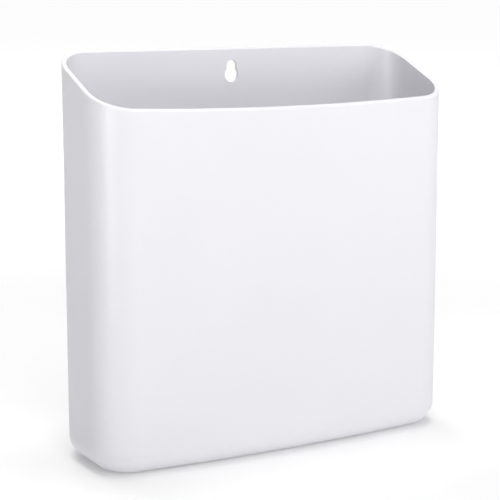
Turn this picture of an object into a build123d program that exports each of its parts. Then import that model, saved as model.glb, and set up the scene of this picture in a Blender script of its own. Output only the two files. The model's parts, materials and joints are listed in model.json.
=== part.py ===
"""Wall-hung open bin: a one-piece moulded plastic pocket, with stick-on rubber pads behind it.

Millimetres, +Z up.  The wall is on the +Y side and the bowed front faces -Y.  The origin is on
the surface that the bin stands on, under the middle of its bounding box.
"""
from build123d import *
import os
from math import cos, radians, sin, tan

# ---- the moulding, outside ----
width = 250.0                 # across the straight sides
shell_depth = 80.0            # from the flat back to the middle of the bowed front
back_height = 252.0           # from the foot to the rim at the back
rim_slope = 23.0              # degrees that the rim falls towards the front
front_bow = 7.0               # how far the middle of the front stands out before its corners
back_corner_radius = 23.0     # upright corners, outside
front_corner_radius = 25.0
base_radius = 15.5            # round the bottom, outside

# ---- the moulding, inside ----
wall = 3.0                    # back, sides and front
floor_thickness = 3.0

# ---- rim edges ----
rim_outer_round = 0.8
rim_inner_round = 0.4

# ---- keyhole in the back ----
keyhole_head_diameter = 10.0  # the round opening that the screw's head passes
keyhole_slot_width = 7.5      # the seat above it, which drops onto the screw
keyhole_drop = 5.5            # from the centre of the round opening up to the centre of the seat
keyhole_top_below_rim = 8.4   # from the back rim down to the top of the seat
keyhole_waist_round = 1.0     # where the round opening runs into the slot

# ---- underside ----
foot_width = 6.0              # the ring that the bin stands on
foot_height = 1.0             # how far the ring stands below the recessed middle
gate_mark_diameter = 3.0      # the trimmed stub where the plastic was injected
gate_mark_height = 0.5

# ---- stick-on pads at the back ----
pad_diameter = 12.0
pad_thickness = 1.8
pad_edge_round = 0.6
adhesive_diameter = 11.4
adhesive_thickness = 0.2
pad_side_inset = 14.0         # from the end of the flat back in to a pad's centre
pad_low_inset = 16.0          # from the end of the flat back up to the lower pads' centres
pad_high_inset = 26.0         # from the back rim down to the upper pads' centres

# ---- where things are ----
standoff = adhesive_thickness + pad_thickness
wall_y = (shell_depth + standoff) / 2
back_y = wall_y - standoff
front_y = back_y - shell_depth
front_corner_y = front_y + front_bow
keyhole_seat_z = back_height - keyhole_top_below_rim - keyhole_slot_width / 2
keyhole_head_z = keyhole_seat_z - keyhole_drop
pad_x = width / 2 - back_corner_radius - pad_side_inset
pad_low_z = base_radius + pad_low_inset
pad_high_z = back_height - pad_high_inset

BEYOND = 20.0                 # how far a cutting shape runs past what it cuts


def plan_outline():
    """The bin seen from above: flat back, straight sides, gently bowed front, round corners."""
    half = width / 2
    back = Line((half, back_y), (-half, back_y))
    left = Line((-half, back_y), (-half, front_corner_y))
    front = ThreePointArc((-half, front_corner_y), (0, front_y), (half, front_corner_y))
    right = Line((half, front_corner_y), (half, back_y))
    outline = make_face(Curve() + [back, left, front, right])
    by_y = outline.vertices().group_by(Axis.Y)
    outline = fillet(by_y[-1], back_corner_radius)
    front_corners = [v for v in outline.vertices() if abs(v.Y - front_corner_y) < 0.001]
    front_corners = [v for v in front_corners if abs(abs(v.X) - half) < 0.001]
    return fillet(front_corners, front_corner_radius)


def rounded_block(outline, height, bottom_radius):
    """The outline drawn up to a height, with its bottom edge rounded all the way round."""
    block = extrude(outline, height)
    bottom = block.faces().sort_by(Axis.Z)[0]
    return fillet(bottom.outer_wire().edges(), bottom_radius)


def above_rim():
    """Everything over the sloping plane of the rim, which meets the back at its full height."""
    reach = shell_depth + 2 * BEYOND
    top_z = back_height + reach
    back_end = (back_y + BEYOND, back_height + BEYOND * tan(radians(rim_slope)))
    front_end = (back_end[0] - reach, back_end[1] - reach * tan(radians(rim_slope)))
    profile = Polyline(back_end, front_end, (front_end[0], top_z), (back_end[0], top_z), close=True)
    side = Plane.YZ.offset(-width / 2 - BEYOND) * make_face(profile)
    return extrude(side, width + 2 * BEYOND)


def rim_face(body):
    """The flat sloping face round the mouth."""
    up = Vector(0, -sin(radians(rim_slope)), cos(radians(rim_slope)))
    planes = body.faces().filter_by(GeomType.PLANE)
    return [f for f in planes if (f.normal_at() - up).length < 0.001][0]


def round_rim(body):
    """Break both edges of the rim, the outer one a little more than the inner one."""
    body = fillet(rim_face(body).outer_wire().edges(), rim_outer_round)
    return fillet(rim_face(body).inner_wires()[0].edges(), rim_inner_round)


def keyhole():
    """A round opening with a narrower seat above it, cut straight through the back."""
    head = Pos(0, keyhole_head_z) * Circle(keyhole_head_diameter / 2)
    seat = Pos(0, keyhole_seat_z) * Circle(keyhole_slot_width / 2)
    slot = Pos(0, (keyhole_head_z + keyhole_seat_z) / 2) * Rectangle(keyhole_slot_width, keyhole_drop)
    outline = head + (seat + slot)
    waist = outline.vertices().filter_by_position(Axis.Y, keyhole_head_z, keyhole_seat_z - 0.001)
    outline = fillet(waist, keyhole_waist_round)
    start = Plane.XZ.offset(-back_y - BEYOND)
    return extrude(start * outline, wall + 2 * BEYOND)


def underside_recess(base_face):
    """The shallow recess that leaves a ring to stand on."""
    recess = offset(base_face, amount=-foot_width)
    return extrude(recess, -foot_height)


def bin_shell():
    """The whole bin is one moulding."""
    outline = plan_outline()
    body = rounded_block(outline, back_height, base_radius)
    base_face = body.faces().sort_by(Axis.Z)[0]
    cavity = rounded_block(offset(outline, amount=-wall), back_height, base_radius - wall)
    body = body - Pos(0, 0, floor_thickness + foot_height) * cavity
    body = round_rim(body - above_rim())
    body = body - keyhole()
    body = body - underside_recess(base_face)
    middle_y = (back_y + front_y) / 2
    gate_mark_z = foot_height - gate_mark_height / 2
    return body + Pos(0, middle_y, gate_mark_z) * Cylinder(gate_mark_diameter / 2, gate_mark_height)


def disc(x, z, y_start, radius, thickness, edge_round=0.0):
    """A disc on the bin's back, from y_start out towards the wall."""
    body = Pos(x, y_start, z) * Rot(-90, 0, 0) * Cylinder(
        radius, thickness, align=(Align.CENTER, Align.CENTER, Align.MIN))
    if edge_round > 0:
        body = fillet(body.edges().group_by(Axis.Y)[-1], edge_round)
    return body


def pads_and_adhesive():
    """Four rubber pads, each on its own disc of adhesive."""
    parts = {}
    for height_name, z in (("upper", pad_high_z), ("lower", pad_low_z)):
        for side_name, x in (("left", -pad_x), ("right", pad_x)):
            place = f"{height_name}_{side_name}"
            parts[f"pad_adhesive_{place}"] = disc(
                x, z, back_y, adhesive_diameter / 2, adhesive_thickness)
            parts[f"wall_pad_{place}"] = disc(
                x, z, back_y + adhesive_thickness, pad_diameter / 2, pad_thickness, pad_edge_round)
    return parts


def main():
    parts = {"bin_shell": bin_shell()}
    parts.update(pads_and_adhesive())
    os.makedirs("parts", exist_ok=True)
    for name, shape in parts.items():
        export_step(shape, f"parts/{name}.step")
        print(name, len(shape.solids()), round(shape.volume, 1))


main()
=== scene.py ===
# %% [markdown]
# # A wall-hung open bin
# The object is one plastic moulding: a shallow pocket with a tall flat back, a rim that slopes
# down to a bowed front, and a keyhole to hang it by. Four soft stick-on pads keep it off the wall.
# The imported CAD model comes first. It is the fixed frame: every size and place below is read from
# it or repeats one of its driving dimensions, and nothing here moves or resizes it.

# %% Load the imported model
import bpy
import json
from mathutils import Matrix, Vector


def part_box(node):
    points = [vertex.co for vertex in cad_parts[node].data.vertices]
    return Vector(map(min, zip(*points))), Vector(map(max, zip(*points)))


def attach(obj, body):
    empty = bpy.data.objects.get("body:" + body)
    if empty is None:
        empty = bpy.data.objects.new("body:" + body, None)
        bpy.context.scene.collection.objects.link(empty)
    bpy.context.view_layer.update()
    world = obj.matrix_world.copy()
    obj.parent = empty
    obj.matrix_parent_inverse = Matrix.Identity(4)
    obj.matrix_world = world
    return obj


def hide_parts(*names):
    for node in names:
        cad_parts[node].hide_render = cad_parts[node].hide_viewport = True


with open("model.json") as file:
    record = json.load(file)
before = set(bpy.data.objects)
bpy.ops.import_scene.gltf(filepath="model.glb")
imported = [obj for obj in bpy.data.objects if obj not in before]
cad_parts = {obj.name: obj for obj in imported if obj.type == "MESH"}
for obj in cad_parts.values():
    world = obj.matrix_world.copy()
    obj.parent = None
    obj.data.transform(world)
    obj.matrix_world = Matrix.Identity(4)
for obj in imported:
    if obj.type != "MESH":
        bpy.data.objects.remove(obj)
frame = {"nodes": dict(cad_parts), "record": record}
print("nodes in the packed model:", len(frame["nodes"]))

# %% Imports for the cells below
import json
import bpy
from math import asin, atan2, cos, pi, radians, sin, sqrt, tan
from mathutils import Vector

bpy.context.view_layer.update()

# %% [markdown]
# ## Sizes
# Blender works in metres and a maker thinks in millimetres, so MM turns one into the other.
# The outside of the moulding is read from its CAD node. The wall, the floor and the radii can't be
# read from a box, so they repeat the design's own dimensions. Only the outside of the rim is
# rounded a little more than in the design, where it is 0.8 mm, so that it catches the light.

# %% Sizes of the moulding
MM = 0.001
shell_low, shell_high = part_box("bin_shell")
half_width = (shell_high.x - shell_low.x) / 2
back_y = shell_high.y
depth = 80.0 * MM
front_y = back_y - depth
rim_angle = radians(23.0)
rim_slope = tan(rim_angle)
outer_round = 1.0 * MM
inner_round = 0.4 * MM
# Rounding the rim takes this much off its highest point, and the box is measured after rounding.
taken_off = outer_round * (1 - cos(rim_angle) + rim_slope * (1 - sin(rim_angle)))
back_height = shell_high.z + taken_off
front_bow = 7.0 * MM
back_corner_radius = 23.0 * MM
front_corner_radius = 25.0 * MM
base_radius = 15.5 * MM
wall = 3.0 * MM
foot_height = 1.0 * MM
foot_width = 6.0 * MM
floor_top = 4.0 * MM
print("moulding", round(2 * half_width / MM, 1), "x", round(depth / MM, 1), "mm, and",
      round(back_height / MM, 2), "mm high at the back before its rim is rounded")

# %% [markdown]
# ## Three helpers
# Materials and geometry are both node trees, so one function adds a node to either. It sets the
# node's properties, and fills each input with a value or with a link from another node. The link
# comes from the socket that it is given, or from the first output of the node that it is given.
# The second helper turns a colour, written as people write it in a paint program, into the linear
# numbers that light is added up in. The third starts a material.

# %% Add a node
def add(tree, kind, inputs=None, **settings):
    """A new node of this kind, with its settings, and its inputs filled or linked."""
    node = tree.nodes.new(kind)
    for name, value in settings.items():
        setattr(node, name, value)
    for key, value in (inputs or {}).items():
        if isinstance(value, bpy.types.Node):
            value = value.outputs[0]
        if isinstance(value, bpy.types.NodeSocket):
            tree.links.new(value, node.inputs[key])
        else:
            node.inputs[key].default_value = value
    return node

# %% Turn an sRGB colour into linear light
def linear(hex_colour):
    """(r, g, b, 1) in linear light, from a colour such as "F0F0F2"."""
    channels = [int(hex_colour[i:i + 2], 16) / 255 for i in (0, 2, 4)]
    light = [c / 12.92 if c <= 0.04045 else ((c + 0.055) / 1.055) ** 2.4 for c in channels]
    return (*light, 1.0)

print("middle grey 808080 in linear light", [round(v, 3) for v in linear("808080")])

# %% Start a material
def new_material(name):
    """A material with an empty tree, and the socket that gives each point its place in metres."""
    material = bpy.data.materials.new(name)
    material.use_nodes = True
    material.node_tree.nodes.clear()
    where = add(material.node_tree, "ShaderNodeTexCoord").outputs["Object"]
    print("material", name)
    return material, material.node_tree, where

# %% [markdown]
# ## Polypropylene, injection moulded
# The bin is white polypropylene. The mould's steel was spark-eroded to a fine satin, so the
# plastic's skin has a grain too small to see one by one: it spreads the highlights. Over a hand's
# width the skin is also a little uneven, where the plastic shrank as it cooled, and the white
# itself drifts by a hair. An image texture could carry all this, but the bin would need
# unwrapping and would show a seam. So three noises at three real sizes make the three effects.

# %% The satin white plastic
FLOW_SIZE = 70 * MM          # how far apart the slow hollows and the drift of the white are
SKIN_SIZE = 9 * MM           # patches where the satin is a little duller or brighter
GRAIN_SIZE = 0.5 * MM        # the spark-eroded grain, coarser than the real 0.05 mm so that it shows

def moulded_polypropylene():
    """White injection-moulded polypropylene with a spark-eroded satin skin."""
    material, tree, where = new_material("moulded_polypropylene_white")
    flow = add(tree, "ShaderNodeTexNoise", {"Vector": where, "Scale": 1 / FLOW_SIZE, "Detail": 2.0})
    skin = add(tree, "ShaderNodeTexNoise", {"Vector": where, "Scale": 1 / SKIN_SIZE, "Detail": 3.0})
    grain = add(tree, "ShaderNodeTexNoise", {"Vector": where, "Scale": 1 / GRAIN_SIZE, "Detail": 2.0})
    white = add(tree, "ShaderNodeMix", {"Factor": flow.outputs["Fac"], "A": linear("EDECF1"),
                                        "B": linear("F1F0F5")}, data_type="RGBA")
    rough = add(tree, "ShaderNodeMapRange", {"Value": skin.outputs["Fac"],
                                             "To Min": 0.40, "To Max": 0.50})
    sink = add(tree, "ShaderNodeBump", {"Height": flow.outputs["Fac"], "Strength": 0.25,
                                        "Distance": 0.4 * MM})
    satin = add(tree, "ShaderNodeBump", {"Height": grain.outputs["Fac"], "Strength": 0.35,
                                         "Distance": 0.02 * MM, "Normal": sink.outputs["Normal"]})
    surface = add(tree, "ShaderNodeBsdfPrincipled", {
        "Base Color": white.outputs["Result"], "Roughness": rough.outputs["Result"],
        "Normal": satin.outputs["Normal"], "IOR": 1.49})
    add(tree, "ShaderNodeOutputMaterial", {"Surface": surface.outputs["BSDF"]})
    return material

plastic = moulded_polypropylene()

# %% [markdown]
# ## Closed outlines with round corners
# The bin seen from above, the keyhole and a pad are all closed outlines made of straight runs and
# arcs. They could be drawn by hand as Bezier curves, but points that are worked out keep every
# arc truly round. An arc comes from its centre, radius and two angles, and a straight run needs no
# points of its own: it is the gap between two arcs.

# %% Points on an arc
def arc(centre_x, centre_y, radius, start, end, steps):
    """Points along an arc, with both its ends. Angles are in radians, anticlockwise from +X."""
    angles = [start + (end - start) * i / steps for i in range(steps + 1)]
    return [(centre_x + radius * cos(a), centre_y + radius * sin(a)) for a in angles]

print("an eighth of a circle ends at", [round(v, 3) for v in arc(0, 0, 1, 0, pi / 4, 4)[-1]])

# %% A closed curve object from an outline
def outline_curve(name, points):
    """A flat closed curve that a Geometry Nodes tree can carry a section round."""
    data = bpy.data.curves.new(name, "CURVE")
    data.dimensions = "3D"
    spline = data.splines.new("POLY")
    spline.points.add(len(points) - 1)
    for target, (x, y) in zip(spline.points, points):
        target.co = (x, y, 0.0, 1.0)
    spline.use_cyclic_u = True
    curve = bpy.data.objects.new(name, data)
    bpy.context.scene.collection.objects.link(curve)
    return curve

# %% The bin seen from above
CORNER_STEPS = 20

def plan_points():
    """Flat back, straight sides and a bowed front, anticlockwise from the right side."""
    bow_radius = (half_width ** 2 + front_bow ** 2) / (2 * front_bow)
    bow_y = front_y + bow_radius
    corner_x = half_width - front_corner_radius
    corner_y = bow_y - sqrt((bow_radius - front_corner_radius) ** 2 - corner_x ** 2)
    lean = asin(corner_x / (bow_radius - front_corner_radius))
    back_x = half_width - back_corner_radius
    corner_back_y = back_y - back_corner_radius
    return (
        arc(back_x, corner_back_y, back_corner_radius, 0, pi / 2, CORNER_STEPS)
        + arc(-back_x, corner_back_y, back_corner_radius, pi / 2, pi, CORNER_STEPS)
        + arc(-corner_x, corner_y, front_corner_radius, pi, 1.5 * pi - lean, CORNER_STEPS)
        + arc(0, bow_y, bow_radius, 1.5 * pi - lean, 1.5 * pi + lean, CORNER_STEPS)[1:-1]
        + arc(corner_x, corner_y, front_corner_radius, 1.5 * pi + lean, 2 * pi, CORNER_STEPS))

plan = outline_curve("bin_plan", plan_points())
print("plan outline", len(plan.data.splines[0].points), "points")

# %% The keyhole's outline, its seat's centre at the origin
keyhole_head_radius = 5.0 * MM       # the round opening that the screw's head goes through
keyhole_slot_half = 3.75 * MM        # half the width of the seat above it
keyhole_drop = 5.5 * MM              # how far the opening's centre is under the seat's
keyhole_waist = 1.0 * MM             # the rounds that join the two
HEAD_STEPS = 40
SEAT_STEPS = 24
WAIST_STEPS = 6

def keyhole_points():
    """A round opening with a narrower seat above it, joined by small rounds at the waist."""
    waist_x = keyhole_slot_half + keyhole_waist
    reach = keyhole_head_radius + keyhole_waist
    waist_y = -keyhole_drop + sqrt(reach ** 2 - waist_x ** 2)
    turn = atan2(waist_y + keyhole_drop, waist_x)
    head = arc(0, -keyhole_drop, keyhole_head_radius, pi - turn, 2 * pi + turn, HEAD_STEPS)
    right = arc(waist_x, waist_y, keyhole_waist, pi + turn, pi, WAIST_STEPS)
    seat = arc(0, 0, keyhole_slot_half, 0, pi, SEAT_STEPS)
    left = arc(-waist_x, waist_y, keyhole_waist, 0, -turn, WAIST_STEPS)
    return head[:-1] + right + seat + left[:-1]

keyhole = outline_curve("keyhole_outline", keyhole_points())
print("keyhole outline", len(keyhole.data.splines[0].points), "points")

# %% [markdown]
# ## One rule for every piece: a section carried round an outline
# The moulding could be modelled face by face, or cut from a block with booleans. It follows a
# simpler rule. Cut it across its wall anywhere and the same section shows: foot, outer wall, rim,
# inner wall and floor. So the section is a line of a few corners, each with its own rounding, and
# Geometry Nodes carry it round the outline. The line's X is how far in from the outline it is, and
# its Y is the height. The keyhole's cutter and the pads are made by the same rule.
#
# The first tool keeps edges short: it cuts each long edge into pieces no longer than a set length,
# so that a flat wall has enough faces for its shading to stay flat beside a rounded corner.

# %% A tree with named inputs
def new_tree(name, inputs):
    """An empty Geometry Nodes tree. inputs are (name, socket kind), after the geometry."""
    tree = bpy.data.node_groups.new(name, "GeometryNodeTree")
    tree.interface.new_socket("Geometry", in_out="INPUT", socket_type="NodeSocketGeometry")
    for label, kind in inputs:
        tree.interface.new_socket(label, in_out="INPUT", socket_type="NodeSocket" + kind)
    tree.interface.new_socket("Geometry", in_out="OUTPUT", socket_type="NodeSocketGeometry")
    return tree

# %% Keep the edges of a curve short
def short_edges():
    """Cuts each edge of a curve into equal pieces no longer than Length."""
    tree = new_tree("short_edges", [("Length", "Float")])
    source = add(tree, "NodeGroupInput")
    here = add(tree, "GeometryNodeInputPosition").outputs[0]
    count = add(tree, "GeometryNodeAttributeDomainSize", {"Geometry": source.outputs["Geometry"]},
                component="CURVE").outputs["Point Count"]
    number = add(tree, "GeometryNodeInputIndex").outputs[0]
    next_number = add(tree, "ShaderNodeMath", {0: number, 1: 1.0}, operation="ADD")
    following = add(tree, "ShaderNodeMath", {0: next_number, 1: count}, operation="MODULO")
    there = add(tree, "GeometryNodeFieldAtIndex", {"Index": following, "Value": here},
                data_type="FLOAT_VECTOR").outputs[0]
    edge = add(tree, "ShaderNodeVectorMath", {0: here, 1: there}, operation="DISTANCE").outputs["Value"]
    lengths = add(tree, "ShaderNodeMath", {0: edge, 1: source.outputs["Length"]}, operation="DIVIDE")
    cuts = add(tree, "ShaderNodeMath", {0: lengths}, operation="FLOOR")
    cut = add(tree, "GeometryNodeSubdivideCurve", {"Curve": source.outputs["Geometry"], "Cuts": cuts})
    add(tree, "NodeGroupOutput", {"Geometry": cut.outputs[0]})
    return tree

short_edges_tree = short_edges()
print("tree", short_edges_tree.name, len(short_edges_tree.nodes), "nodes")

# %% [markdown]
# The second tool does the carrying. Curve to Mesh makes the wall from the outline and the section.
# That leaves the two ends of the section as open loops, so each is closed with a flat face: the
# outline is drawn in by as much as the section's end is, filled, and lifted to that end's height.
# Round an anticlockwise outline Curve to Mesh lays a section's X outwards and its Y downwards, so
# the section is given a half turn first.

# %% Carry a section round an outline, and close both ends
WELD_DISTANCE = 0.002 * MM           # points nearer to each other than this become one

def carried_round():
    """A closed solid from a closed anticlockwise outline and an open section."""
    tree = new_tree("carried_round", [("Section", "Geometry")])
    source = add(tree, "NodeGroupInput")
    outline = add(tree, "GeometryNodeSetCurveNormal", {"Curve": source.outputs["Geometry"]},
                  mode="Z_UP").outputs[0]
    section = source.outputs["Section"]
    half_turn = add(tree, "GeometryNodeTransform", {"Geometry": section, "Rotation": (0.0, 0.0, pi)})
    skin = add(tree, "GeometryNodeCurveToMesh", {"Curve": outline,
                                                 "Profile Curve": half_turn.outputs[0]})
    faced_out = add(tree, "GeometryNodeFlipFaces", {"Mesh": skin.outputs[0]})
    here = add(tree, "GeometryNodeInputPosition").outputs[0]
    outward = add(tree, "GeometryNodeInputNormal").outputs[0]
    joined = add(tree, "GeometryNodeJoinGeometry", {0: faced_out.outputs[0]})
    for end in (0.0, 1.0):
        sampled = add(tree, "GeometryNodeSampleCurve",
                      {"Curves": section, "Factor": end, "Value": here},
                      mode="FACTOR", data_type="FLOAT_VECTOR")
        place = add(tree, "ShaderNodeSeparateXYZ", {0: sampled.outputs["Position"]})
        out = add(tree, "ShaderNodeMath", {0: place.outputs["X"], 1: -1.0}, operation="MULTIPLY")
        step = add(tree, "ShaderNodeVectorMath", {0: outward, "Scale": out}, operation="SCALE")
        drawn_in = add(tree, "GeometryNodeSetPosition",
                       {"Geometry": outline, "Offset": step.outputs[0]})
        filled = add(tree, "GeometryNodeFillCurve", {"Curve": drawn_in.outputs[0]}, mode="NGONS")
        height = add(tree, "ShaderNodeCombineXYZ", {"Z": place.outputs["Y"]}).outputs[0]
        lifted = add(tree, "GeometryNodeTransform",
                     {"Geometry": filled.outputs[0], "Translation": height}).outputs[0]
        if end == 0.0:
            lifted = add(tree, "GeometryNodeFlipFaces", {"Mesh": lifted}).outputs[0]
        tree.links.new(lifted, joined.inputs[0])
    welded = add(tree, "GeometryNodeMergeByDistance",
                 {"Geometry": joined.outputs[0], "Distance": WELD_DISTANCE})
    add(tree, "NodeGroupOutput", {"Geometry": welded.outputs[0]})
    return tree

carried_round_tree = carried_round()
print("tree", carried_round_tree.name, len(carried_round_tree.nodes), "nodes")

# %% [markdown]
# The third tool draws the section itself. Each corner says how far in it is, how high it is, and
# how much it is rounded. The numbers are sockets of the tree, so the section follows its sizes.

# %% Draw a section from its corners
def section_line(tree, corners, edge_length, round_steps):
    """An open line through the corners (distance in, height, rounding), rounded, with short edges."""
    line = add(tree, "GeometryNodeMeshLine", {"Count": len(corners)}, mode="OFFSET").outputs[0]
    index = add(tree, "GeometryNodeInputIndex").outputs[0]
    places = add(tree, "GeometryNodeIndexSwitch", {"Index": index}, data_type="VECTOR")
    rounds = add(tree, "GeometryNodeIndexSwitch", {"Index": index}, data_type="FLOAT")
    for number, (inward, height, rounding) in enumerate(corners):
        if number > 1:
            places.index_switch_items.new()
            rounds.index_switch_items.new()
        place = add(tree, "ShaderNodeCombineXYZ", {"X": inward, "Y": height})
        tree.links.new(place.outputs[0], places.inputs[number + 1])
        # Adding nothing turns a plain number into a socket, which a link can start from.
        value = add(tree, "ShaderNodeMath", {0: rounding, 1: 0.0}, operation="ADD")
        tree.links.new(value.outputs[0], rounds.inputs[number + 1])
    placed = add(tree, "GeometryNodeSetPosition",
                 {"Geometry": line, "Position": places.outputs[0]}).outputs[0]
    kept = add(tree, "GeometryNodeStoreNamedAttribute",
               {"Geometry": placed, "Name": "rounding", "Value": rounds.outputs[0]},
               data_type="FLOAT", domain="POINT").outputs[0]
    drawn = add(tree, "GeometryNodeMeshToCurve", {"Mesh": kept}).outputs[0]
    radius = add(tree, "GeometryNodeInputNamedAttribute", {"Name": "rounding"},
                 data_type="FLOAT").outputs[0]
    rounded = add(tree, "GeometryNodeFilletCurve",
                  {"Curve": drawn, "Radius": radius, "Count": round_steps}, mode="POLY").outputs[0]
    short = add(tree, "GeometryNodeGroup", node_tree=short_edges_tree)
    tree.links.new(rounded, short.inputs["Geometry"])
    short.inputs["Length"].default_value = edge_length
    return short.outputs["Geometry"]

# %% [markdown]
# The last tool runs a tree. It puts the tree on an empty object as a modifier, sets its sizes,
# copies the mesh that comes out and takes the modifier off again. Applying the modifier would do
# the same, but that needs the object to be selected. A second modifier weights the normals: each
# point's shading leans to its largest faces, so a flat wall looks flat right up to its rounds.

# %% Run a tree and keep what it makes
def make_piece(name, tree, values):
    """A plain mesh object from a tree, with face-weighted shading."""
    host = bpy.data.objects.new(name, bpy.data.meshes.new(name))
    bpy.context.scene.collection.objects.link(host)
    modifier = host.modifiers.new(tree.name, "NODES")
    modifier.node_group = tree
    for item in tree.interface.items_tree:
        if item.in_out == "INPUT" and item.name in values:
            modifier[item.identifier] = values[item.name]
    weighted = host.modifiers.new("even_shading", "WEIGHTED_NORMAL")
    weighted.keep_sharp = True
    evaluated = host.evaluated_get(bpy.context.evaluated_depsgraph_get())
    mesh = bpy.data.meshes.new_from_object(evaluated)
    host.modifiers.clear()
    host.data = mesh
    # The host's own mesh had no material, and that leaves an empty first slot on what it became.
    while mesh.materials and mesh.materials[0] is None:
        mesh.materials.pop(index=0)
    print(name, len(mesh.vertices), "points,", len(mesh.polygons), "faces")
    return host

# %% [markdown]
# Every tree ends in the same way. Its instances become real mesh, because the exported model can't
# hold instances. Its edges that turn by more than a set angle are marked sharp and the rest are
# shaded smooth, and it gets its material.

# %% How each tree ends
SHARP_TURN = radians(35)

def finish_tree(tree, geometry, material):
    """Realizes, marks sharp edges, sets the material and gives the tree its output."""
    real = add(tree, "GeometryNodeRealizeInstances", {"Geometry": geometry})
    smooth = add(tree, "GeometryNodeSetShadeSmooth", {"Geometry": real.outputs[0]})
    turn = add(tree, "GeometryNodeInputMeshEdgeAngle").outputs["Unsigned Angle"]
    sharp = add(tree, "ShaderNodeMath", {0: turn, 1: SHARP_TURN}, operation="GREATER_THAN")
    marked = add(tree, "GeometryNodeSetShadeSmooth", {
        "Geometry": smooth.outputs[0], "Selection": sharp, "Shade Smooth": False}, domain="EDGE")
    finished = add(tree, "GeometryNodeSetMaterial",
                   {"Geometry": marked.outputs[0], "Material": material})
    add(tree, "NodeGroupOutput", {"Geometry": finished.outputs[0]})
    print("tree", tree.name, len(tree.nodes), "nodes")

# %% [markdown]
# ## The moulding
# Its section has seven corners. It starts where the recess under the bin meets the foot, goes
# round the foot, up the outer wall, over the rim, down the inner wall and out onto the floor.
# The rim is level at first. Then every point is lowered by the rim's slope times its distance from
# the back: fully at the rim, and less and less down the wall, so that the upright walls stay
# upright and only their top edge slopes.

# %% The level moulding
EDGE_LENGTH = 8 * MM                 # no edge along a flat wall is longer
ROUND_STEPS = 12                     # points on each round of the section

def level_moulding(tree, size):
    """The bin with a level rim: its section carried round its plan."""
    foot_inset = add(tree, "ShaderNodeMath", {0: size["Base Radius"], 1: size["Foot Width"]},
                     operation="ADD")
    inner_radius = add(tree, "ShaderNodeMath", {0: size["Base Radius"], 1: size["Wall"]},
                       operation="SUBTRACT")
    section = section_line(tree, [
        (foot_inset, size["Foot Height"], 0.0),
        (foot_inset, 0.0, size["Edge Round"]),
        (0.0, 0.0, size["Base Radius"]),
        (0.0, size["Height"], size["Outer Round"]),
        (size["Wall"], size["Height"], size["Inner Round"]),
        (size["Wall"], size["Floor Top"], inner_radius),
        (foot_inset, size["Floor Top"], 0.0)], EDGE_LENGTH, ROUND_STEPS)
    outline = add(tree, "GeometryNodeObjectInfo", {"Object": size["Plan"]}).outputs["Geometry"]
    fine = add(tree, "GeometryNodeGroup", node_tree=short_edges_tree)
    tree.links.new(outline, fine.inputs["Geometry"])
    fine.inputs["Length"].default_value = EDGE_LENGTH
    carried = add(tree, "GeometryNodeGroup", node_tree=carried_round_tree)
    tree.links.new(fine.outputs[0], carried.inputs["Geometry"])
    tree.links.new(section, carried.inputs["Section"])
    return carried.outputs[0]

# %% Slope the rim
RIM_ZONE = 2 * MM                    # what lies this near the rim is lowered by its full slope

def slope_the_rim(tree, geometry, size):
    """Lowers each point by slope x distance from the back, less and less down the wall."""
    here = add(tree, "GeometryNodeInputPosition").outputs[0]
    place = add(tree, "ShaderNodeSeparateXYZ", {0: here})
    from_back = add(tree, "ShaderNodeMath", {0: size["Back Y"], 1: place.outputs["Y"]},
                    operation="SUBTRACT")
    under_rim = add(tree, "ShaderNodeMath", {0: size["Height"], 1: RIM_ZONE}, operation="SUBTRACT")
    share = add(tree, "ShaderNodeMapRange", {
        "Value": place.outputs["Z"], "From Min": size["Base Radius"],
        "From Max": under_rim}).outputs[0]
    full_drop = add(tree, "ShaderNodeMath", {0: from_back, 1: size["Slope"]}, operation="MULTIPLY")
    drop = add(tree, "ShaderNodeMath", {0: full_drop, 1: share}, operation="MULTIPLY")
    downwards = add(tree, "ShaderNodeMath", {0: drop, 1: -1.0}, operation="MULTIPLY")
    lower = add(tree, "ShaderNodeCombineXYZ", {"Z": downwards})
    return add(tree, "GeometryNodeSetPosition", {"Geometry": geometry, "Offset": lower}).outputs[0]

# %% [markdown]
# The bin hangs by its keyhole: the screw's head goes through the round opening, and its shank
# drops into the narrower seat. The hole could be built into the wall's faces, but a boolean cuts
# it from a wall of any thickness. The cutter is carried round by the same rule, and its section
# flares where it passes each face of the wall, so the hole's edges come out rounded, as a mould
# leaves them. It stands a hundredth of a millimetre proud of both faces, because a boolean is
# unreliable where two faces coincide.

# %% The cutter for the keyhole
PROUD = 0.01 * MM
HOLE_ROUND_STEPS = 6

def keyhole_cutter(tree, size):
    """The keyhole's outline carried through the back wall, flared at both faces."""
    flare = add(tree, "ShaderNodeMath", {0: size["Edge Round"], 1: -2.0}, operation="MULTIPLY")
    far_face = add(tree, "ShaderNodeMath", {0: size["Wall"], 1: PROUD}, operation="ADD")
    section = section_line(tree, [
        (flare, -PROUD, 0.0), (0.0, -PROUD, size["Edge Round"]),
        (0.0, far_face, size["Edge Round"]), (flare, far_face, 0.0)],
        EDGE_LENGTH, HOLE_ROUND_STEPS)
    outline = add(tree, "GeometryNodeObjectInfo", {"Object": size["Keyhole"]}).outputs["Geometry"]
    cutter = add(tree, "GeometryNodeGroup", node_tree=carried_round_tree)
    tree.links.new(outline, cutter.inputs["Geometry"])
    tree.links.new(section, cutter.inputs["Section"])
    place = add(tree, "ShaderNodeCombineXYZ",
                {"Y": size["Back Y"], "Z": size["Keyhole Z"]}).outputs[0]
    return add(tree, "GeometryNodeTransform", {
        "Geometry": cutter.outputs[0], "Translation": place,
        "Rotation": (pi / 2, 0.0, 0.0)}).outputs[0]

# %% [markdown]
# Plastic flows into the mould at one point, the gate, and leaves a small round pip there. Here it
# is in the recess under the bin, where nobody sees it and it doesn't touch the floor. The same
# rule makes it from a circle, and a boolean joins it on, so that the moulding stays one solid.

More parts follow.
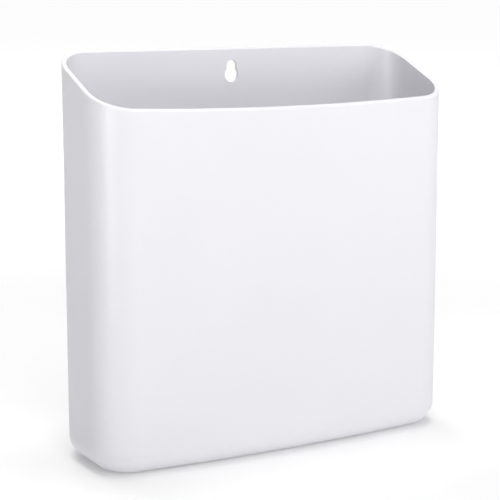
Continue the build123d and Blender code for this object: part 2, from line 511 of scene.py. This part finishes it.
# %% The gate's pip
PIP_SUNK = 0.5 * MM                  # the pip reaches this far up into the floor that it joins
PIP_CAP_INSET = 0.5 * MM             # its flat ends start this far in from its side
PIP_EDGE_ROUND = 0.12 * MM
PIP_SIDES = 48
PIP_ROUND_STEPS = 4

def gate_pip(tree, size):
    """A short round pip hanging from the middle of the recess."""
    top = add(tree, "ShaderNodeMath", {0: size["Foot Height"], 1: PIP_SUNK}, operation="ADD")
    bottom = add(tree, "ShaderNodeMath", {0: size["Foot Height"], 1: size["Pip Height"]},
                 operation="SUBTRACT")
    section = section_line(tree, [
        (PIP_CAP_INSET, bottom, 0.0), (0.0, bottom, PIP_EDGE_ROUND),
        (0.0, top, 0.0), (PIP_CAP_INSET, top, 0.0)], EDGE_LENGTH, PIP_ROUND_STEPS)
    ring = add(tree, "GeometryNodeCurvePrimitiveCircle",
               {"Resolution": PIP_SIDES, "Radius": size["Pip Radius"]})
    pip = add(tree, "GeometryNodeGroup", node_tree=carried_round_tree)
    tree.links.new(ring.outputs["Curve"], pip.inputs["Geometry"])
    tree.links.new(section, pip.inputs["Section"])
    place = add(tree, "ShaderNodeCombineXYZ", {"Y": size["Pip Y"]}).outputs[0]
    return add(tree, "GeometryNodeTransform",
               {"Geometry": pip.outputs[0], "Translation": place}).outputs[0]

# %% The whole tree of the moulding
def moulding_tree():
    """The bin's solid from its plan, with named inputs for its sizes."""
    tree = new_tree("moulding", [
        ("Plan", "Object"), ("Wall", "Float"), ("Height", "Float"), ("Slope", "Float"),
        ("Back Y", "Float"), ("Base Radius", "Float"), ("Outer Round", "Float"),
        ("Inner Round", "Float"), ("Edge Round", "Float"), ("Foot Width", "Float"),
        ("Foot Height", "Float"), ("Floor Top", "Float"), ("Keyhole", "Object"),
        ("Keyhole Z", "Float"), ("Pip Radius", "Float"), ("Pip Height", "Float"),
        ("Pip Y", "Float"), ("Plastic", "Material")])
    size = add(tree, "NodeGroupInput").outputs
    sloped = slope_the_rim(tree, level_moulding(tree, size), size)
    # A union takes all its meshes in one input, so the pip is linked to it beside the bin.
    with_pip = add(tree, "GeometryNodeMeshBoolean", {"Mesh 2": sloped},
                   operation="UNION", solver="EXACT")
    tree.links.new(gate_pip(tree, size), with_pip.inputs["Mesh 2"])
    cut = add(tree, "GeometryNodeMeshBoolean", {
        "Mesh 1": with_pip.outputs["Mesh"], "Mesh 2": keyhole_cutter(tree, size)},
        operation="DIFFERENCE", solver="EXACT")
    welded = add(tree, "GeometryNodeMergeByDistance",
                 {"Geometry": cut.outputs["Mesh"], "Distance": WELD_DISTANCE})
    finish_tree(tree, welded.outputs[0], size["Plastic"])
    return tree

# %% Make the moulding
edge_round = 0.3 * MM                # on the foot's inner edge and the keyhole's two edges
pip_radius = 1.5 * MM
pip_height = 0.5 * MM
mount_places = {mount["name"]: Vector(mount["pos_m"]) for mount in frame["record"]["mounts"]}

bin_shell = make_piece("bin_moulding", moulding_tree(), {
    "Plan": plan, "Wall": wall, "Height": back_height, "Slope": rim_slope, "Back Y": back_y,
    "Base Radius": base_radius, "Outer Round": outer_round, "Inner Round": inner_round,
    "Edge Round": edge_round, "Foot Width": foot_width, "Foot Height": foot_height,
    "Floor Top": floor_top, "Keyhole": keyhole, "Keyhole Z": mount_places["keyhole"].z,
    "Pip Radius": pip_radius, "Pip Height": pip_height, "Pip Y": (back_y + front_y) / 2,
    "Plastic": plastic})
for used_up in (plan, keyhole):
    bpy.data.objects.remove(used_up)
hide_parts("bin_shell")
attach(bin_shell, "root")

# %% [markdown]
# ## The wall pads
# Four soft round pads hold the back of the bin off the wall and keep it from rattling. Such pads
# are cast from polyurethane onto a film of acrylic adhesive, and are sold in sheets to peel off.
# Cast polyurethane is cloudy: a little light goes in and comes out beside where it went in, and
# its skin picks up a fine dust that dulls it in patches. One pad would be easy to lathe, but four
# equal ones are a repeat, so the tree makes one and puts it on the four points of a grid.

# %% The pads' cloudy polyurethane
CLOUD_SIZE = 4 * MM                  # the drift of its grey, as thick and thin places let light in
DUST_SIZE = 0.4 * MM                 # patches of clinging dust
GLOW_DEPTH = 1.2 * MM                # how far light spreads inside it

def cast_polyurethane():
    """Cloudy grey cast polyurethane: soft highlights, and light that spreads inside it."""
    material, tree, where = new_material("cast_polyurethane_cloudy")
    cloud = add(tree, "ShaderNodeTexNoise", {"Vector": where, "Scale": 1 / CLOUD_SIZE, "Detail": 3.0})
    dust = add(tree, "ShaderNodeTexNoise", {"Vector": where, "Scale": 1 / DUST_SIZE, "Detail": 4.0})
    grey = add(tree, "ShaderNodeMix", {"Factor": cloud.outputs["Fac"], "A": linear("CBCDCE"),
                                       "B": linear("D6D7D6")}, data_type="RGBA")
    rough = add(tree, "ShaderNodeMapRange", {"Value": dust.outputs["Fac"],
                                             "To Min": 0.32, "To Max": 0.6})
    skin = add(tree, "ShaderNodeBump", {"Height": dust.outputs["Fac"], "Strength": 0.3,
                                        "Distance": 0.03 * MM})
    surface = add(tree, "ShaderNodeBsdfPrincipled", {
        "Base Color": grey.outputs["Result"], "Roughness": rough.outputs["Result"],
        "Normal": skin.outputs["Normal"], "IOR": 1.5, "Subsurface Weight": 0.3,
        "Subsurface Radius": (1.0, 1.0, 0.95), "Subsurface Scale": GLOW_DEPTH})
    add(tree, "ShaderNodeOutputMaterial", {"Surface": surface.outputs["BSDF"]})
    return material

polyurethane = cast_polyurethane()

# %% Where the pads are, read from their CAD nodes
PAD_NODES = ["wall_pad_lower_left", "wall_pad_lower_right",
             "wall_pad_upper_left", "wall_pad_upper_right"]
pad_low, pad_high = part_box(PAD_NODES[0])
pad_thickness = pad_high.y - pad_low.y
lower_left = mount_places["wall_pad_lower_left_face"]
upper_left = mount_places["wall_pad_upper_left_face"]
upper_right = mount_places["wall_pad_upper_right_face"]
pad_across = upper_right.x - upper_left.x
pad_up = upper_left.z - lower_left.z
pad_centre = Vector((0.0, pad_low.y, lower_left.z + pad_up / 2))
print("pads", round(pad_across / MM, 1), "x", round(pad_up / MM, 1), "mm apart")

# %% The tree of the four pads
PAD_TAPER = 0.15 * MM                # its face is this much smaller all round than its base
PAD_BASE_ROUND = 0.1 * MM
DIMPLE_START = 3.2 * MM              # how far in from the edge its shallow dimple starts
DIMPLE_FLOOR = 3.8 * MM              # and where it has its full depth
DIMPLE_ROUNDS = (0.2 * MM, 0.3 * MM)
PAD_CAP_INSET = 4.5 * MM             # its flat ends start this far in
PAD_SIDES = 64
PAD_ROUND_STEPS = 8

def pads_tree():
    """One pad, carried round a circle and put on a grid of two by two points."""
    tree = new_tree("wall_pads", [
        ("Radius", "Float"), ("Thickness", "Float"), ("Edge Round", "Float"),
        ("Dimple", "Float"), ("Spacing X", "Float"), ("Spacing Z", "Float"),
        ("Centre", "Vector"), ("Rubber", "Material")])
    size = add(tree, "NodeGroupInput").outputs
    dimple_z = add(tree, "ShaderNodeMath", {0: size["Thickness"], 1: size["Dimple"]},
                   operation="SUBTRACT")
    section = section_line(tree, [
        (PAD_CAP_INSET, 0.0, 0.0),
        (0.0, 0.0, PAD_BASE_ROUND),
        (PAD_TAPER, size["Thickness"], size["Edge Round"]),
        (DIMPLE_START, size["Thickness"], DIMPLE_ROUNDS[0]),
        (DIMPLE_FLOOR, dimple_z, DIMPLE_ROUNDS[1]),
        (PAD_CAP_INSET, dimple_z, 0.0)], EDGE_LENGTH, PAD_ROUND_STEPS)
    ring = add(tree, "GeometryNodeCurvePrimitiveCircle",
               {"Resolution": PAD_SIDES, "Radius": size["Radius"]})
    pad = add(tree, "GeometryNodeGroup", node_tree=carried_round_tree)
    tree.links.new(ring.outputs["Curve"], pad.inputs["Geometry"])
    tree.links.new(section, pad.inputs["Section"])
    grid = add(tree, "GeometryNodeMeshGrid", {
        "Size X": size["Spacing X"], "Size Y": size["Spacing Z"], "Vertices X": 2, "Vertices Y": 2})
    four = add(tree, "GeometryNodeInstanceOnPoints",
               {"Points": grid.outputs["Mesh"], "Instance": pad.outputs[0]})
    # A quarter turn about X stands the grid up and points the pads' faces backwards, at the wall.
    upright = add(tree, "GeometryNodeTransform", {
        "Geometry": four.outputs[0], "Translation": size["Centre"],
        "Rotation": (-pi / 2, 0.0, 0.0)})
    finish_tree(tree, upright.outputs[0], size["Rubber"])
    return tree

# %% Make the pads
pad_radius = 6.0 * MM
pad_edge_round = 0.6 * MM
dimple_depth = 0.08 * MM

pads = make_piece("wall_pads", pads_tree(), {
    "Radius": pad_radius, "Thickness": pad_thickness, "Edge Round": pad_edge_round,
    "Dimple": dimple_depth, "Spacing X": pad_across, "Spacing Z": pad_up, "Centre": pad_centre,
    "Rubber": polyurethane})
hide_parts(*PAD_NODES)
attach(pads, "root")

# %% [markdown]
# ## The adhesive under the pads
# A film of acrylic adhesive shows only as a thin line round each pad. It is clear and slightly
# yellow, and its cut edge catches lint. New discs could be made for it, but the CAD discs already
# have the right shape, so they stay and only get this material.

# %% The acrylic adhesive film
LINT_SIZE = 0.8 * MM

def acrylic_adhesive():
    """Clear acrylic adhesive film, die-cut, with a tacky edge that lint clings to."""
    material, tree, where = new_material("acrylic_adhesive_film")
    lint = add(tree, "ShaderNodeTexNoise", {"Vector": where, "Scale": 1 / LINT_SIZE, "Detail": 4.0})
    tone = add(tree, "ShaderNodeMix", {"Factor": lint.outputs["Fac"], "A": linear("D9D6C8"),
                                       "B": linear("C4C1B4")}, data_type="RGBA")
    rough = add(tree, "ShaderNodeMapRange", {"Value": lint.outputs["Fac"],
                                             "To Min": 0.15, "To Max": 0.45})
    surface = add(tree, "ShaderNodeBsdfPrincipled", {
        "Base Color": tone.outputs["Result"], "Roughness": rough.outputs["Result"], "IOR": 1.47})
    add(tree, "ShaderNodeOutputMaterial", {"Surface": surface.outputs["BSDF"]})
    return material

adhesive = acrylic_adhesive()
for name, node in frame["nodes"].items():
    if name.startswith("pad_adhesive"):
        node.material_slots[0].material = adhesive
        print(adhesive.name, "on", name)

# %% [markdown]
# ## The studio
# The bin stands on a pale sweep of coated board in front of nothing but white, as for a
# catalogue. The lamps light the board near the bin, and its material also glows by itself: a painted
# glow that is faint near the bin and grows to white further out, so that no horizon shows. Lamps
# that are large for their distance give soft edges to light and shade. The low lamps in front light
# the upright faces, the high ones light the rim, the inside and the floor, and a tall strip shows
# as a highlight on a corner.
# The surroundings are white to look at but give almost no light, or they would flatten the shade.

# %% The floor of coated board
SWEEP_NEAR = 0.4                     # metres from the bin's middle where the lift starts to grow
SWEEP_FAR = 2.0                      # and where it is full
LIFT_NEAR = 0.15                     # light that the board gives by itself, near the bin
LIFT_FAR = 0.95                      # and far out, where it has to meet the white surroundings
MOTTLE_SIZE = 30 * MM

def coated_board():
    """Matt white coated board with the faint mottle of its coating, and a painted glow that lifts it to
    white far out.
    """
    material, tree, where = new_material("coated_board_white")
    mottle = add(tree, "ShaderNodeTexNoise", {"Vector": where, "Scale": 1 / MOTTLE_SIZE, "Detail": 3.0})
    white = add(tree, "ShaderNodeMix", {"Factor": mottle.outputs["Fac"], "A": linear("EAEAEA"),
                                        "B": linear("ECECEC")}, data_type="RGBA")
    away = add(tree, "ShaderNodeVectorMath", {0: where}, operation="LENGTH").outputs["Value"]
    # Painted glow: the board gives off light by itself, faint near the bin and stronger away from it.
    painted_glow = add(tree, "ShaderNodeMapRange", {
        "Value": away, "From Min": SWEEP_NEAR, "From Max": SWEEP_FAR, "To Min": LIFT_NEAR,
        "To Max": LIFT_FAR}, interpolation_type="SMOOTHSTEP").outputs[0]
    surface = add(tree, "ShaderNodeBsdfPrincipled", {
        "Base Color": white.outputs["Result"], "Roughness": 0.9,
        "Emission Color": linear("FFFFFF"), "Emission Strength": painted_glow})
    add(tree, "ShaderNodeOutputMaterial", {"Surface": surface.outputs["BSDF"]})
    return material

# %% The floor
FLOOR_REACH = 100.0                  # metres each way, so that its edge is never in view

corners = [(-FLOOR_REACH, -FLOOR_REACH, 0.0), (FLOOR_REACH, -FLOOR_REACH, 0.0),
           (FLOOR_REACH, FLOOR_REACH, 0.0), (-FLOOR_REACH, FLOOR_REACH, 0.0)]
floor_mesh = bpy.data.meshes.new("studio_floor")
floor_mesh.from_pydata(corners, [], [(0, 1, 2, 3)])
floor_mesh.materials.append(coated_board())
floor = bpy.data.objects.new("studio_floor", floor_mesh)
bpy.context.scene.collection.objects.link(floor)
print("floor", 2 * FLOOR_REACH, "m across")

# %% White surroundings, which the camera sees brighter than they light
SURROUND_LIGHT = 0.03

world = bpy.data.worlds.new("white_studio")
world.use_nodes = True
world.node_tree.nodes.clear()
seen = add(world.node_tree, "ShaderNodeLightPath").outputs["Is Camera Ray"]
strength = add(world.node_tree, "ShaderNodeMapRange", {
    "Value": seen, "To Min": SURROUND_LIGHT, "To Max": 1.0}).outputs[0]
background = add(world.node_tree, "ShaderNodeBackground",
                 {"Color": linear("FFFFFF"), "Strength": strength})
add(world.node_tree, "ShaderNodeOutputWorld", {"Surface": background.outputs[0]})
bpy.context.scene.world = world
print("surroundings", SURROUND_LIGHT)

# %% Soft lamps, each aimed at the bin
bin_middle = Vector((0.0, 0.0, back_height / 2))

def soft_lamp(name, place, width, height, watts):
    """A rectangular lamp at place, turned to face the middle of the bin."""
    data = bpy.data.lights.new(name, "AREA")
    data.shape = "RECTANGLE"
    data.size = width
    data.size_y = height
    data.energy = watts
    lamp = bpy.data.objects.new(name, data)
    lamp.location = place
    lamp.rotation_euler = (bin_middle - Vector(place)).to_track_quat("-Z", "Y").to_euler()
    bpy.context.scene.collection.objects.link(lamp)
    return lamp

# Each has its place in metres, its width and height in metres, and its power in watts.
lamps = [
    soft_lamp("overhead_lamp", (0.0, 0.0, 2.6), 1.0, 1.0, 28.0),
    soft_lamp("high_back_lamp", (0.0, 2.0, 2.4), 1.6, 1.6, 31.0),
    soft_lamp("high_right_lamp", (1.2, 0.2, 1.8), 1.2, 1.2, 4.5),
    soft_lamp("front_left_lamp", (-0.8, -2.05, 1.3), 1.4, 1.4, 14.5),
    soft_lamp("high_front_lamp", (-0.5, -1.3, 2.1), 1.2, 1.2, 13.0),
    soft_lamp("front_right_lamp", (1.5, -1.6, 0.8), 1.4, 1.4, 11.0),
]
# The tall strip is there only for its reflection, a soft bright line down the front left corner.
corner_strip = soft_lamp("corner_strip_lamp", (-1.8, -0.9, 0.3), 0.3, 1.4, 48.0)
corner_strip.visible_diffuse = False
lamps.append(corner_strip)
print("lamps", [lamp.name for lamp in lamps])

# %% [markdown]
# A long lens from a little above the bin's left, almost a metre away, shows the front, the left
# side and the inside of the tall back at once, and keeps upright lines nearly parallel.

# %% The camera
CAMERA_TURN = radians(-29.909)       # from straight in front towards the bin's left
CAMERA_RISE = radians(10.039)
CAMERA_DISTANCE = 944.62 * MM
CAMERA_TARGET = Vector((-13.5 * MM, -11.0 * MM, 127.33 * MM))

camera_data = bpy.data.cameras.new("studio_camera")
camera_data.sensor_width = 36.0
camera_data.lens = 108.29
camera = bpy.data.objects.new("studio_camera", camera_data)
backwards = Vector((sin(CAMERA_TURN) * cos(CAMERA_RISE),
                    -cos(CAMERA_TURN) * cos(CAMERA_RISE), sin(CAMERA_RISE)))
camera.location = CAMERA_TARGET + backwards * CAMERA_DISTANCE
camera.rotation_euler = (-backwards).to_track_quat("-Z", "Y").to_euler()
bpy.context.scene.collection.objects.link(camera)
bpy.context.scene.camera = camera
bpy.context.scene.view_settings.view_transform = "Standard"
print("camera", [round(v, 3) for v in camera.location])
